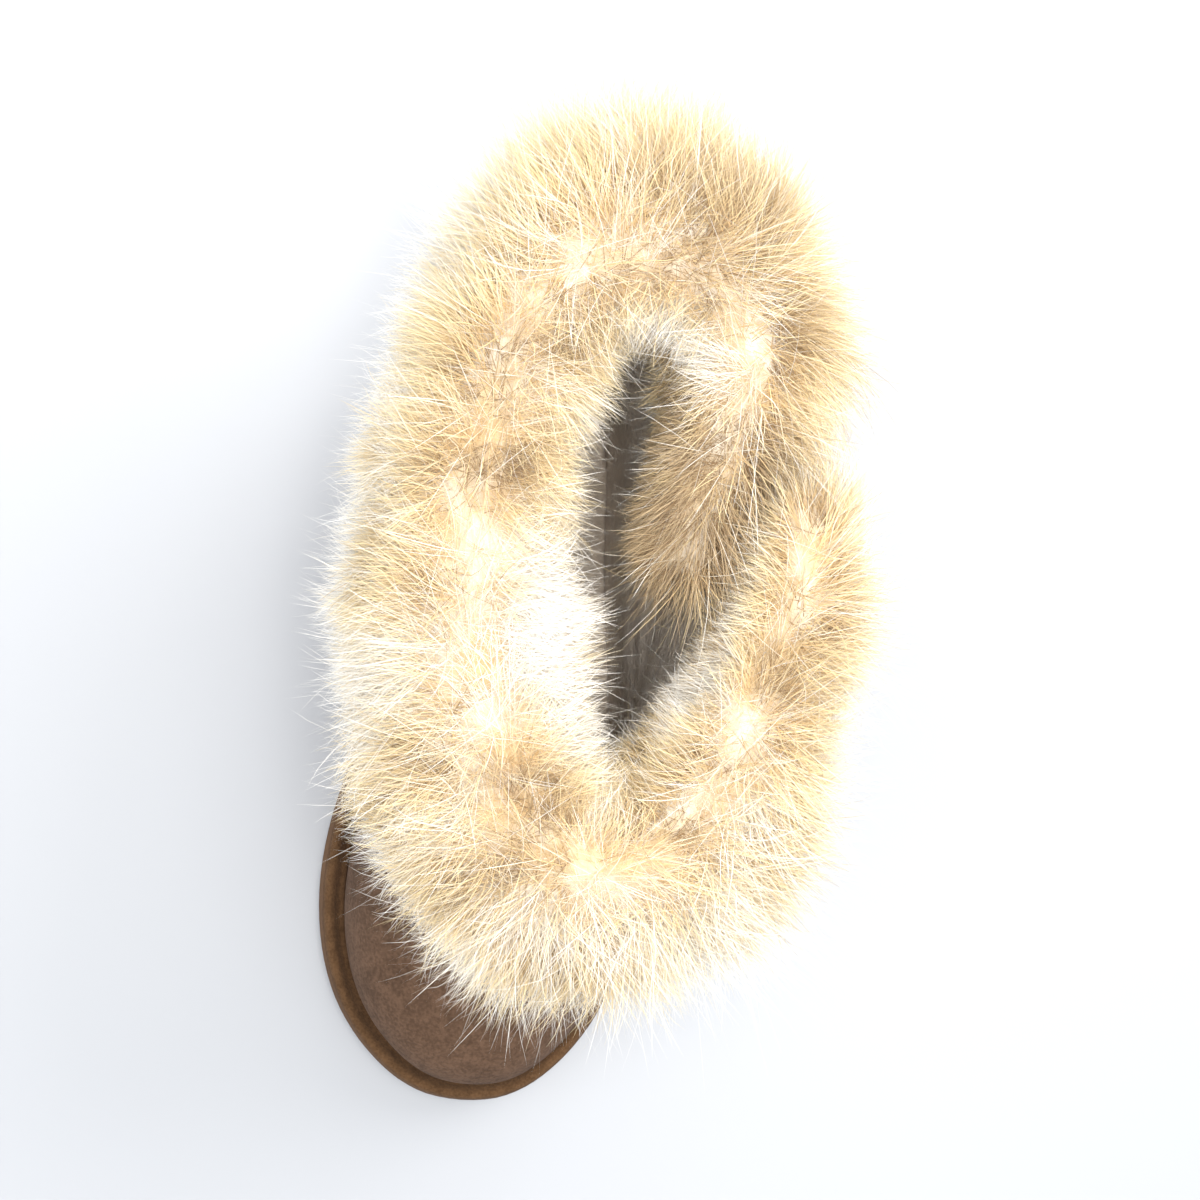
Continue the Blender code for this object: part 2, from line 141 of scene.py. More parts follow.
def makeStudio():
    bpy.ops.mesh.primitive_plane_add(size=studio["floorSize"], location=(0, 0, 0))
    floor = bpy.context.active_object
    floor.name = "floor"
    paper = bpy.data.materials.new("floorPaper")
    paper.use_nodes = True
    shader = paper.node_tree.nodes["Principled BSDF"]
    shader.inputs["Base Color"].default_value = studio["floorTone"]
    shader.inputs["Roughness"].default_value = studio["floorRoughness"]
    floor.data.materials.append(paper)
    floor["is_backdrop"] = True
    world = bpy.data.worlds.new("studio")
    world.use_nodes = True
    sky = world.node_tree.nodes["Background"]
    sky.inputs["Color"].default_value = studio["skyTone"]
    sky.inputs["Strength"].default_value = studio["skyStrength"]
    scene.world = world
    for place, aim, size, power, colour in studio["lamps"]:
        data = bpy.data.lights.new("softLamp", "AREA")
        data.shape = "DISK"
        data.size = size
        data.energy = power
        data.color = colour
        lamp = bpy.data.objects.new("softLamp", data)
        scene.collection.objects.link(lamp)
        lamp.location = place
        lamp.rotation_euler = (Vector(aim) - Vector(place)).to_track_quat("-Z", "Y").to_euler()
        lamp.visible_camera = False
    scene.view_settings.view_transform = "Standard"


makeCamera()
makeStudio()
print("camera and studio made")


# Shader groups that several finishes share


def newGroup(name, takes, gives):
    # An empty node group with named inputs (name, kind, value) and outputs (name, kind)
    group = bpy.data.node_groups.new(name, "ShaderNodeTree")
    for label, kind, value in takes:
        socket = group.interface.new_socket(label, in_out="INPUT", socket_type=kind)
        if value is not None:
            socket.default_value = value
    for label, kind in gives:
        group.interface.new_socket(label, in_out="OUTPUT", socket_type=kind)
    return group, group.nodes.new("NodeGroupInput"), group.nodes.new("NodeGroupOutput")


def addNode(tree, kind, **settings):
    node = tree.nodes.new("ShaderNode" + kind)
    for name, value in settings.items():
        setattr(node, name, value)
    return node


def feed(tree, socket, value):
    # Links a socket, or sets it to a plain value
    if isinstance(value, bpy.types.NodeSocket):
        tree.links.new(value, socket)
    else:
        socket.default_value = value


def mathNode(tree, operation, a, b=None, clamp=False):
    node = addNode(tree, "Math", operation=operation, use_clamp=clamp)
    feed(tree, node.inputs[0], a)
    if b is not None:
        feed(tree, node.inputs[1], b)
    return node.outputs[0]


def weighted(tree, first, share, second, rest, clamp=False):
    # The sum of two values, each times its own weight
    one = mathNode(tree, "MULTIPLY", first, share)
    other = mathNode(tree, "MULTIPLY", second, rest)
    return mathNode(tree, "ADD", one, other, clamp=clamp)


def mixTones(tree, share, first, second, blend="MIX"):
    node = addNode(tree, "Mix", data_type="RGBA", blend_type=blend)
    feed(tree, node.inputs[0], share)
    feed(tree, node.inputs[6], first)
    feed(tree, node.inputs[7], second)
    return node.outputs[2]


def ramp(tree, value, low, high):
    # 0 below one value and 1 above another, smooth between
    node = addNode(tree, "MapRange", interpolation_type="SMOOTHSTEP")
    feed(tree, node.inputs["Value"], value)
    feed(tree, node.inputs["From Min"], low)
    feed(tree, node.inputs["From Max"], high)
    return node.outputs["Result"]


def spread(tree, value, low, high):
    # Takes 0 to 1 to a span of values
    node = addNode(tree, "MapRange")
    feed(tree, node.inputs["Value"], value)
    node.inputs["To Min"].default_value = low
    node.inputs["To Max"].default_value = high
    return node.outputs["Result"]


def noiseValue(tree, where, scale, detail=3.0, rough=0.55, twist=0.0):
    node = addNode(tree, "TexNoise")
    feed(tree, node.inputs["Vector"], where)
    feed(tree, node.inputs["Scale"], scale)
    node.inputs["Detail"].default_value = detail
    node.inputs["Roughness"].default_value = rough
    node.inputs["Distortion"].default_value = twist
    return node.outputs["Fac"]


napLook = {
    "coarser": 0.2,  # scale of the middle grain, in grains
    "grains": (0.6, 0.4),  # weights of the fine and the middle grain
    "patches": (0.32, 0.68),
    "specks": (0.36, 0.64),
}


def makeNapGroup():
    # Brushed nap: broad patches lying light or dark, fine grain in colour and in height
    group, takes, gives = newGroup(
        "brushedNap",
        [
            ("Place", "NodeSocketVector", None),
            ("Grain Scale", "NodeSocketFloat", 1400.0),
            ("Patch Scale", "NodeSocketFloat", 38.0),
            ("Patch Share", "NodeSocketFloat", 0.27),
        ],
        [("Shade", "NodeSocketFloat"), ("Height", "NodeSocketFloat")],
    )
    place = takes.outputs["Place"]
    grain = noiseValue(group, place, takes.outputs["Grain Scale"], detail=4.0, rough=0.6)
    coarser = mathNode(group, "MULTIPLY", takes.outputs["Grain Scale"], napLook["coarser"])
    middle = noiseValue(group, place, coarser)
    patch = noiseValue(group, place, takes.outputs["Patch Scale"], rough=0.6, twist=0.8)
    broad = ramp(group, patch, *napLook["patches"])
    share, rest = napLook["grains"]
    fine = weighted(group, grain, share, middle, rest)
    speckled = ramp(group, fine, *napLook["specks"])
    share = takes.outputs["Patch Share"]
    rest = mathNode(group, "SUBTRACT", 1.0, share)
    feed(group, gives.inputs["Shade"], weighted(group, broad, share, speckled, rest, clamp=True))
    feed(group, gives.inputs["Height"], fine)
    return group


wearLook = {"scuffs": (0.35, 0.65)}


def makeWearGroup():
    # Rubbed edges, broken up by noise
    group, takes, gives = newGroup(
        "rubbedEdges",
        [
            ("Place", "NodeSocketVector", None),
            ("Edge Start", "NodeSocketFloat", 0.52),
            ("Edge Full", "NodeSocketFloat", 0.60),
            ("Break Up Scale", "NodeSocketFloat", 120.0),
        ],
        [("Mask", "NodeSocketFloat")],
    )
    shape = addNode(group, "NewGeometry")
    edge = ramp(group, shape.outputs["Pointiness"], takes.outputs["Edge Start"], takes.outputs["Edge Full"])
    scuffs = noiseValue(group, takes.outputs["Place"], takes.outputs["Break Up Scale"], detail=4.0)
    broken = ramp(group, scuffs, *wearLook["scuffs"])
    feed(group, gives.inputs["Mask"], mathNode(group, "MULTIPLY", edge, broken))
    return group


pileLook = {
    "swirlScale": 0.6,  # in tufts
    "swirl": (0.006, 0.006, 0.006),  # how far the tufts are bent, in metres
    "grainScale": 6.0,
    "heights": (0.8, 0.3),  # weights of a tuft and of the grain on it
    "shade": 0.95,
}


def makeWoolGroup():
    # Clipped wool pile: small curled tufts
    group, takes, gives = newGroup(
        "clippedWool",
        [("Place", "NodeSocketVector", None), ("Tuft Scale", "NodeSocketFloat", 260.0)],
        [("Shade", "NodeSocketFloat"), ("Height", "NodeSocketFloat")],
    )
    place = takes.outputs["Place"]
    scale = takes.outputs["Tuft Scale"]
    swirl = addNode(group, "TexNoise")
    feed(group, swirl.inputs["Vector"], place)
    feed(group, swirl.inputs["Scale"], mathNode(group, "MULTIPLY", scale, pileLook["swirlScale"]))
    bent = addNode(group, "VectorMath", operation="MULTIPLY_ADD")
    feed(group, bent.inputs[0], swirl.outputs["Color"])
    bent.inputs[1].default_value = pileLook["swirl"]
    feed(group, bent.inputs[2], place)
    cells = addNode(group, "TexVoronoi", feature="SMOOTH_F1")
    feed(group, cells.inputs["Vector"], bent.outputs[0])
    feed(group, cells.inputs["Scale"], scale)
    tuft = mathNode(group, "SUBTRACT", 1.0, cells.outputs["Distance"], clamp=True)
    grain = noiseValue(group, place, mathNode(group, "MULTIPLY", scale, pileLook["grainScale"]))
    share, rest = pileLook["heights"]
    height = weighted(group, tuft, share, grain, rest)
    feed(group, gives.inputs["Shade"], mathNode(group, "MULTIPLY", height, pileLook["shade"], clamp=True))
    feed(group, gives.inputs["Height"], height)
    return group


hairLook = {
    "gold": 0.3,  # the tint of plain gold
    "tip": 0.85,  # how far along a hair its tip's tone is reached
}


def makeFurGroup():
    # Colour of one hair: tint is 0 for deep gold and 1 for white, and along is 0 at its root
    group, takes, gives = newGroup(
        "furTone",
        [
            ("Tint", "NodeSocketFloat", 0.5),
            ("Along", "NodeSocketFloat", 0.5),
            # The deep tones are partly the real tan specks of the crest and partly painted shade on the rear
            # flap inside the opening
            ("Root Deep", "NodeSocketColor", (0.32, 0.21, 0.11, 1.0)),
            ("Root Gold", "NodeSocketColor", (0.78, 0.555, 0.28, 1.0)),
            ("Root White", "NodeSocketColor", (0.87, 0.83, 0.76, 1.0)),
            ("Tip Deep", "NodeSocketColor", (0.54, 0.41, 0.25, 1.0)),
            ("Tip Gold", "NodeSocketColor", (0.91, 0.755, 0.45, 1.0)),
            ("Tip White", "NodeSocketColor", (0.92, 0.90, 0.86, 1.0)),
        ],
        [("Tone", "NodeSocketColor")],
    )
    golden = ramp(group, takes.outputs["Tint"], 0.0, hairLook["gold"])
    white = ramp(group, takes.outputs["Tint"], hairLook["gold"], 1.0)
    along = ramp(group, takes.outputs["Along"], 0.0, hairLook["tip"])
    ends = []
    for end in ("Root", "Tip"):
        tone = mixTones(group, golden, takes.outputs[end + " Deep"], takes.outputs[end + " Gold"])
        ends.append(mixTones(group, white, tone, takes.outputs[end + " White"]))
    feed(group, gives.inputs["Tone"], mixTones(group, along, *ends))
    return group


napGroup = makeNapGroup()
wearGroup = makeWearGroup()
woolGroup = makeWoolGroup()
furGroup = makeFurGroup()


def newFinish(name, **plain):
    # A material with plain shader values, its tree, its shader and the place on the object
    material = bpy.data.materials.new(name)
    material.use_nodes = True
    tree = material.node_tree
    shader = tree.nodes["Principled BSDF"]
    for label, value in plain.items():
        shader.inputs[label.replace("_", " ")].default_value = value
    place = addNode(tree, "TexCoord").outputs["Object"]
    return material, tree, shader, place


def useGroup(tree, group, **values):
    node = addNode(tree, "Group", node_tree=group)
    for label, value in values.items():
        feed(tree, node.inputs[label.replace("_", " ")], value)
    return node


def bump(tree, shader, height, distance, strength=1.0):
    node = addNode(tree, "Bump")
    feed(tree, node.inputs["Height"], height)
    node.inputs["Distance"].default_value = distance
    node.inputs["Strength"].default_value = strength
    feed(tree, shader.inputs["Normal"], node.outputs["Normal"])


suedeLook = {
    # Tones: dark, light and worn
    "suede": {
        "tones": ((0.076, 0.043, 0.026, 1), (0.162, 0.094, 0.059, 1), (0.20, 0.12, 0.075, 1)),
        "grain": 850.0,
    },
    "welt": {
        "tones": ((0.086, 0.045, 0.021, 1), (0.158, 0.085, 0.041, 1), (0.21, 0.125, 0.068, 1)),
        "grain": 1100.0,
    },
    "wornShare": 0.5,
    "grooveShadeSpan": (0.455, 0.492),  # pointiness where the painted hollow shade is full and where it ends
    "grooveShadeTone": (0.30, 0.27, 0.25, 1),
    "roughness": (1.0, 0.9),  # in the dark nap and in the light
    "bump": (0.00080, 0.9),  # height and strength
}


def suedeFinish(name, kind):
    dark, light, wear = suedeLook[kind]["tones"]
    material, tree, shader, place = newFinish(
        name, Sheen_Weight=0.04, Sheen_Roughness=0.7, Specular_IOR_Level=0.02
    )
    nap = useGroup(tree, napGroup, Place=place, Grain_Scale=suedeLook[kind]["grain"])
    tone = mixTones(tree, nap.outputs["Shade"], dark, light)
    rubbed = useGroup(tree, wearGroup, Place=place)
    worn = mathNode(tree, "MULTIPLY", rubbed.outputs["Mask"], suedeLook["wornShare"])
    worn = mixTones(tree, worn, tone, wear)
    # Painted shade: hollows found by low pointiness are darkened, above all the groove between the upper and
    # the welt
    shadedHollows = mixTones(tree, 1.0, worn, suedeLook["grooveShadeTone"], blend="MULTIPLY")
    outsideHollows = ramp(tree, addNode(tree, "NewGeometry").outputs["Pointiness"], *suedeLook["grooveShadeSpan"])
    feed(tree, shader.inputs["Base Color"], mixTones(tree, outsideHollows, shadedHollows, worn))
    feed(tree, shader.inputs["Roughness"], spread(tree, nap.outputs["Shade"], *suedeLook["roughness"]))
    bump(tree, shader, nap.outputs["Height"], *suedeLook["bump"])
    return material


woolLook = {
    "lining": {"tones": ((0.56, 0.46, 0.36, 1), (0.88, 0.78, 0.66, 1)), "tufts": 300.0},
    "insole": {"tones": ((0.58, 0.48, 0.38, 1), (0.90, 0.80, 0.68, 1)), "tufts": 260.0},
    "bump": (0.0016, 0.9),
}


def woolFinish(name, kind):
    material, tree, shader, place = newFinish(name, Roughness=0.95, Sheen_Weight=0.4, Specular_IOR_Level=0.15)
    wool = useGroup(tree, woolGroup, Place=place, Tuft_Scale=woolLook[kind]["tufts"])
    tone = mixTones(tree, wool.outputs["Shade"], *woolLook[kind]["tones"])
    feed(tree, shader.inputs["Base Color"], tone)
    bump(tree, shader, wool.outputs["Height"], *woolLook["bump"])
    return material


rubberLook = {
    # Tones: dark, light and worn
    "tones": ((0.096, 0.050, 0.024, 1), (0.155, 0.084, 0.042, 1), (0.22, 0.135, 0.075, 1)),
    "grain": {"Grain_Scale": 700.0, "Patch_Scale": 22.0, "Patch_Share": 0.45},
    "edges": {"Edge_Start": 0.53, "Edge_Full": 0.62},
    "roughness": (0.62, 0.78),
    "bump": (0.00015, 0.6),
}


def rubberFinish(name):
    dark, light, wear = rubberLook["tones"]
    material, tree, shader, place = newFinish(name, Specular_IOR_Level=0.35)
    nap = useGroup(tree, napGroup, Place=place, **rubberLook["grain"])
    rubbed = useGroup(tree, wearGroup, Place=place, **rubberLook["edges"])
    tone = mixTones(tree, nap.outputs["Shade"], dark, light)
    feed(tree, shader.inputs["Base Color"], mixTones(tree, rubbed.outputs["Mask"], tone, wear))
    feed(tree, shader.inputs["Roughness"], spread(tree, nap.outputs["Shade"], *rubberLook["roughness"]))
    bump(tree, shader, nap.outputs["Height"], *rubberLook["bump"])
    return material


def furFinish(name, **tones):
    # Reads the strand's own UV map: U is its tint and V runs from root to tip
    material, tree, shader, _ = newFinish(
        name, Roughness=0.62, Specular_IOR_Level=0.25, Sheen_Weight=0.25, Sheen_Roughness=0.4
    )
    ways = addNode(tree, "SeparateXYZ")
    feed(tree, ways.inputs[0], addNode(tree, "UVMap", uv_map="OFBake").outputs["UV"])
    hair = useGroup(tree, furGroup, Tint=ways.outputs["X"], Along=ways.outputs["Y"], **tones)
    feed(tree, shader.inputs["Base Color"], hair.outputs["Tone"])
    return material


peltLook = {
    "tufts": 330.0,
    "patchScale": 45.0,
    "patches": (0.35, 0.65),
    "gold": ((0.46, 0.295, 0.15, 1), (0.84, 0.65, 0.38, 1)),  # dark and light
    "pale": ((0.66, 0.53, 0.37, 1), (0.94, 0.89, 0.80, 1)),
    "bump": (0.0018, 0.9),
}


def peltFinish(name):
    # The dense wool at the roots, seen where the hair parts
    material, tree, shader, place = newFinish(name, Roughness=0.95, Sheen_Weight=0.3, Specular_IOR_Level=0.1)
    wool = useGroup(tree, woolGroup, Place=place, Tuft_Scale=peltLook["tufts"])
    patch = ramp(tree, noiseValue(tree, place, peltLook["patchScale"]), *peltLook["patches"])
    gold = mixTones(tree, wool.outputs["Shade"], *peltLook["gold"])
    pale = mixTones(tree, wool.outputs["Shade"], *peltLook["pale"])
    feed(tree, shader.inputs["Base Color"], mixTones(tree, patch, gold, pale))
    bump(tree, shader, wool.outputs["Height"], *peltLook["bump"])
    return material


finishes = {
    "suede": suedeFinish("suedeNap", "suede"),
    "lining": woolFinish("liningWool", "lining"),
    "insoleWool": woolFinish("insoleWool", "insole"),
    "welt": suedeFinish("weltSuede", "welt"),
    "rubber": rubberFinish("soleRubber"),
    "pelt": peltFinish("peltRoots"),
    "hair": furFinish("softHair"),
    "guard": furFinish("guardHair", Root_Gold=(0.92, 0.82, 0.64, 1), Tip_Gold=(0.98, 0.96, 0.90, 1)),
}
print("finishes made")


# Leather, sole and lining


def nearness(points, place, reach):
    # 1 at a place, fading over its reach
    return np.exp(-np.sum((points - np.array(place)) ** 2, axis=1) / reach**2)


meshWork = {
    "weld": 0.00001,
    "flat": math.radians(60),  # the most that two triangles of one quad are turned apart
    "square": math.radians(80),
}


def copyNode(node, name):
    # A merged copy of a CAD node's mesh, for a piece that stands for the node
    piece = bpy.data.objects.new(name, frame["nodes"][node].data.copy())
    scene.collection.objects.link(piece)
    piece.data.materials.clear()
    pick(piece)
    bpy.ops.mesh.customdata_custom_splitnormals_clear()
    bpy.ops.object.mode_set(mode="EDIT")
    bpy.ops.mesh.select_all(action="SELECT")
    bpy.ops.mesh.remove_doubles(threshold=meshWork["weld"])
    bpy.ops.object.mode_set(mode="OBJECT")
    return piece


def makeQuads(piece):
    pick(piece)
    bpy.ops.object.mode_set(mode="EDIT")
    bpy.ops.mesh.select_all(action="SELECT")
    bpy.ops.mesh.tris_convert_to_quads(face_threshold=meshWork["flat"], shape_threshold=meshWork["square"])
    bpy.ops.object.mode_set(mode="OBJECT")


def creaseRims(piece, angle, crease):
    # Keeps the rims firm when the piece is subdivided, and marks them sharp
    pick(piece)
    bpy.ops.object.mode_set(mode="EDIT")
    bpy.ops.mesh.select_all(action="DESELECT")
    bpy.ops.mesh.select_mode(type="EDGE")
    bpy.ops.mesh.edges_select_sharp(sharpness=math.radians(angle))
    bpy.ops.mesh.mark_sharp()
    bpy.ops.transform.edge_crease(value=crease)
    bpy.ops.mesh.select_mode(type="FACE")
    bpy.ops.object.mode_set(mode="OBJECT")


def applySubdivision(piece, levels):
    pick(piece)
    smoother = piece.modifiers.new("smoother", "SUBSURF")
    smoother.levels = smoother.render_levels = levels
    bpy.ops.object.modifier_apply(modifier=smoother.name)


def putOn(piece, node, *materials):
    # The piece stands for the node, which is hidden, takes its finishes and moves with the boot
    for material in materials:
        piece.data.materials.append(material)
    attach(piece, "root")
    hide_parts(node)


upperShape = {
    "rimAngle": 50,
    "rimCrease": 0.55,
    "levels": 2,
    "creaseEnds": (0.08, 0.84),  # a crease's depth follows a half wave: where it starts, and the share used
    # Soft troughs (-) and ridges (+): two ends, width and height, in metres
    "creases": [
        ((-0.050, -0.010, 0.068), (-0.020, -0.085, 0.082), 0.0060, -0.0009),
        ((-0.050, -0.004, 0.080), (-0.022, -0.078, 0.094), 0.0060, 0.0007),
        ((0.052, -0.010, 0.066), (0.022, -0.086, 0.080), 0.0060, -0.0009),
        ((0.052, -0.004, 0.078), (0.024, -0.078, 0.092), 0.0060, 0.0007),
        ((-0.024, 0.040, 0.086), (0.026, 0.041, 0.090), 0.0065, -0.0008),
        ((-0.034, -0.128, 0.062), (0.030, -0.124, 0.064), 0.0070, -0.0006),
        ((-0.030, -0.142, 0.056), (0.034, -0.137, 0.058), 0.0080, 0.0005),
    ],
}


def pressCreases(piece, creases):
    # Moves the skin along its normal beside each crease line, fading towards the line's ends
    mesh = piece.data
    count = len(mesh.vertices)
    spots = np.empty(count * 3)
    mesh.vertices.foreach_get("co", spots)
    spots = spots.reshape(-1, 3)
    outward = np.empty(count * 3, np.float32)
    mesh.vertex_normals.foreach_get("vector", outward)
    outward = outward.reshape(-1, 3)
    moved = spots.copy()
    for start, end, width, height in creases:
        start, end = np.array(start), np.array(end)
        line = end - start
        share = np.clip((spots - start) @ line / (line @ line), 0, 1)
        gap = np.linalg.norm(spots - (start + share[:, None] * line), axis=1)
        first, span = upperShape["creaseEnds"]
        along = np.sin(np.pi * np.clip(first + span * share, 0, 1))
        fade = np.exp(-((gap / width) ** 2)) * along
        moved += outward * (height * fade)[:, None]
    mesh.vertices.foreach_set("co", moved.ravel())
    mesh.update()


# Soft moves of the leather and the pelt beside the slit
flapShape = {
    "moves": [  # place, reach, shift
        ((0.0640, 0.0260, 0.190), 0.019, (0.0070, 0.0000, 0.0000)),
        ((0.0760, -0.0220, 0.188), 0.018, (-0.0035, 0.0000, 0.0000)),
        ((0.0220, -0.0420, 0.205), 0.022, (0.0035, 0.0080, -0.0060)),
    ],
}


def settleFlaps(piece):
    # The same move for the wall and for the pelt that it carries
    for vert in piece.data.vertices:
        place = np.array(vert.co)[None]
        for middle, reach, shift in flapShape["moves"]:
            vert.co += Vector(shift) * float(nearness(place, middle, reach)[0])


def makeUpper():
    piece = copyNode("upper", "suedeUpper")
    makeQuads(piece)
    creaseRims(piece, upperShape["rimAngle"], upperShape["rimCrease"])
    # The skin is all that can be reached from the toe without crossing a rim
    mesh = piece.data
    toe = min(mesh.polygons, key=lambda face: face.center.y).index
    mesh.polygons.foreach_set("select", [face.index == toe for face in mesh.polygons])
    bpy.ops.object.mode_set(mode="EDIT")
    bpy.ops.mesh.select_linked(delimit={"SHARP"})
    bpy.ops.object.mode_set(mode="OBJECT")
    for face in mesh.polygons:
        face.material_index = 0 if face.select else 1
    print("skin faces", sum(face.select for face in mesh.polygons), "of", len(mesh.polygons))
    applySubdivision(piece, upperShape["levels"])
    pressCreases(piece, upperShape["creases"])
    settleFlaps(piece)
    piece.data.shade_smooth()
    putOn(piece, "upper", finishes["suede"], finishes["lining"])
    return piece


soleShape = {
    "cuts": 2,  # new points on each edge near the rim
    "rim": 0.014,  # width of the band beside the outline that is rounded
    "ringGap": 0.003,  # the two widest rings of the sole stand at least this far apart
    "reach": 1.5,  # the band in which edges are cut, in rims
    "smooth": 40,
}


def soleOutline(mesh):
    # Plan of the sole's widest ring, in order: its two rings stand one right over the other
    stacks = {}
    for vert in mesh.vertices:
        stacks.setdefault((round(vert.co.x, 5), round(vert.co.y, 5)), []).append(vert.co.z)
    ring = [spot for spot, heights in stacks.items() if len(heights) == 2 and standApart(heights)]
    ring = np.array(ring)
    middle = (ring.min(axis=0) + ring.max(axis=0)) / 2
    turn = np.arctan2(ring[:, 1] - middle[1], ring[:, 0] - middle[0])
    return ring[np.argsort(turn)]


def standApart(heights):
    return max(heights) - min(heights) > soleShape["ringGap"]


def roundOutline(spots, ring):
    # Moves each point near the outline as far as a smooth curve stands off the straight edge there
    ahead, after, before = np.roll(ring, -1, axis=0), np.roll(ring, -2, axis=0), np.roll(ring, 1, axis=0)
    edge = ahead - ring
    moved = spots.copy()
    for i, spot in enumerate(spots):
        share = np.clip(np.sum((spot[:2] - ring) * edge, axis=1) / np.sum(edge * edge, axis=1), 0, 1)
        gaps = np.linalg.norm(ring + share[:, None] * edge - spot[:2], axis=1)
        k = int(np.argmin(gaps))
        if gaps[k] > soleShape["rim"]:
            continue
        t = share[k]
        curve = 0.5 * (
            2 * ring[k]
            + (ahead[k] - before[k]) * t
            + (2 * before[k] - 5 * ring[k] + 4 * ahead[k] - after[k]) * t**2
            + (3 * ring[k] - before[k] - 3 * ahead[k] + after[k]) * t**3
        )
        moved[i, :2] += curve - (ring[k] + t * edge[k])
    return moved


def makeSole():
    sole = copyNode("outsole", "rubberSole")
    mesh = sole.data
    ring = soleOutline(mesh)
    print("outline points", len(ring))

    def nearRim(place):
        gap = np.linalg.norm(ring - np.array(place[:2]), axis=1).min()
        return gap < soleShape["reach"] * soleShape["rim"]

    near = [nearRim(vert.co) for vert in mesh.vertices]
    pick(sole)
    bpy.ops.object.mode_set(mode="EDIT")
    bpy.ops.mesh.select_mode(type="EDGE")
    bpy.ops.mesh.select_all(action="DESELECT")
    bpy.ops.object.mode_set(mode="OBJECT")
    for edge in mesh.edges:
        edge.select = all(near[v] for v in edge.vertices)
    bpy.ops.object.mode_set(mode="EDIT")
    bpy.ops.mesh.subdivide(number_cuts=soleShape["cuts"])
    bpy.ops.mesh.select_mode(type="FACE")
    bpy.ops.object.mode_set(mode="OBJECT")
    spots = np.empty(len(mesh.vertices) * 3)
    mesh.vertices.foreach_get("co", spots)
    mesh.vertices.foreach_set("co", roundOutline(spots.reshape(-1, 3), ring).ravel())
    mesh.update()
    pick(sole)
    bpy.ops.object.shade_smooth_by_angle(angle=math.radians(soleShape["smooth"]))
    return sole


weltShape = {"levels": 2}

insoleShape = {
    "rimAngle": 50,
    "rimCrease": 0.4,
    "levels": 2,
    "swell": 0.0009,  # its wool meets the wool of the wall
}


def makeBottom():
    sole = makeSole()
    putOn(sole, "outsole", finishes["rubber"])

    welt = copyNode("welt", "weltBinding")
    makeQuads(welt)
    applySubdivision(welt, weltShape["levels"])
    welt.data.shade_smooth()
    putOn(welt, "welt", finishes["welt"])

    insole = copyNode("insole", "woolInsole")
    makeQuads(insole)
    creaseRims(insole, insoleShape["rimAngle"], insoleShape["rimCrease"])
    applySubdivision(insole, insoleShape["levels"])
    pick(insole)
    bpy.ops.object.mode_set(mode="EDIT")
    bpy.ops.mesh.select_all(action="SELECT")
    bpy.ops.transform.shrink_fatten(value=insoleShape["swell"])
    bpy.ops.object.mode_set(mode="OBJECT")
    insole.data.shade_smooth()
    putOn(insole, "insole", finishes["insoleWool"])


makeUpper()
makeBottom()
print("upper and bottom made")


# Fur


peltShape = {
    "tipHeight": 0.0009,  # a lock's tip stands at least this far over its base
    "levels": 1,
}


def lockTips(bm):
    # Tips of the locks: points of four faces that stand over their four neighbours
    tips = []
    for vert in bm.verts:
        if len(vert.link_faces) != 4 or len(vert.link_edges) != 4:
            continue
        ring = [edge.other_vert(vert).co for edge in vert.link_edges]
        middle = sum(ring, Vector()) / 4
        if (vert.co - middle).length > peltShape["tipHeight"]:
            tips.append(vert)
    found = set(tips)

    def besideTips(vert):
        return sum(edge.other_vert(vert) in found for edge in vert.link_edges)

    return [vert for vert in tips if besideTips(vert) < 2]  # a corner of the pelt touches two tips


def makePelt():
    # The skin under the fur: the cuff without its locks, rounded
    piece = copyNode("fur_cuff", "peltSkin")
    mesh = piece.data
    bm = bmesh.new()
    bm.from_mesh(mesh)
    tips = lockTips(bm)
    bmesh.ops.dissolve_verts(bm, verts=tips)
    for face in bm.faces:
        face.material_index = 1 if len(face.verts) == 4 else 0
    bm.to_mesh(mesh)
    bm.free()
    print("locks taken off", len(tips), "furred faces", sum(face.material_index for face in mesh.polygons))
    makeQuads(piece)
    applySubdivision(piece, peltShape["levels"])
    settleFlaps(piece)
    piece.data.shade_smooth()
    putOn(piece, "fur_cuff", finishes["lining"], finishes["pelt"])
    return piece


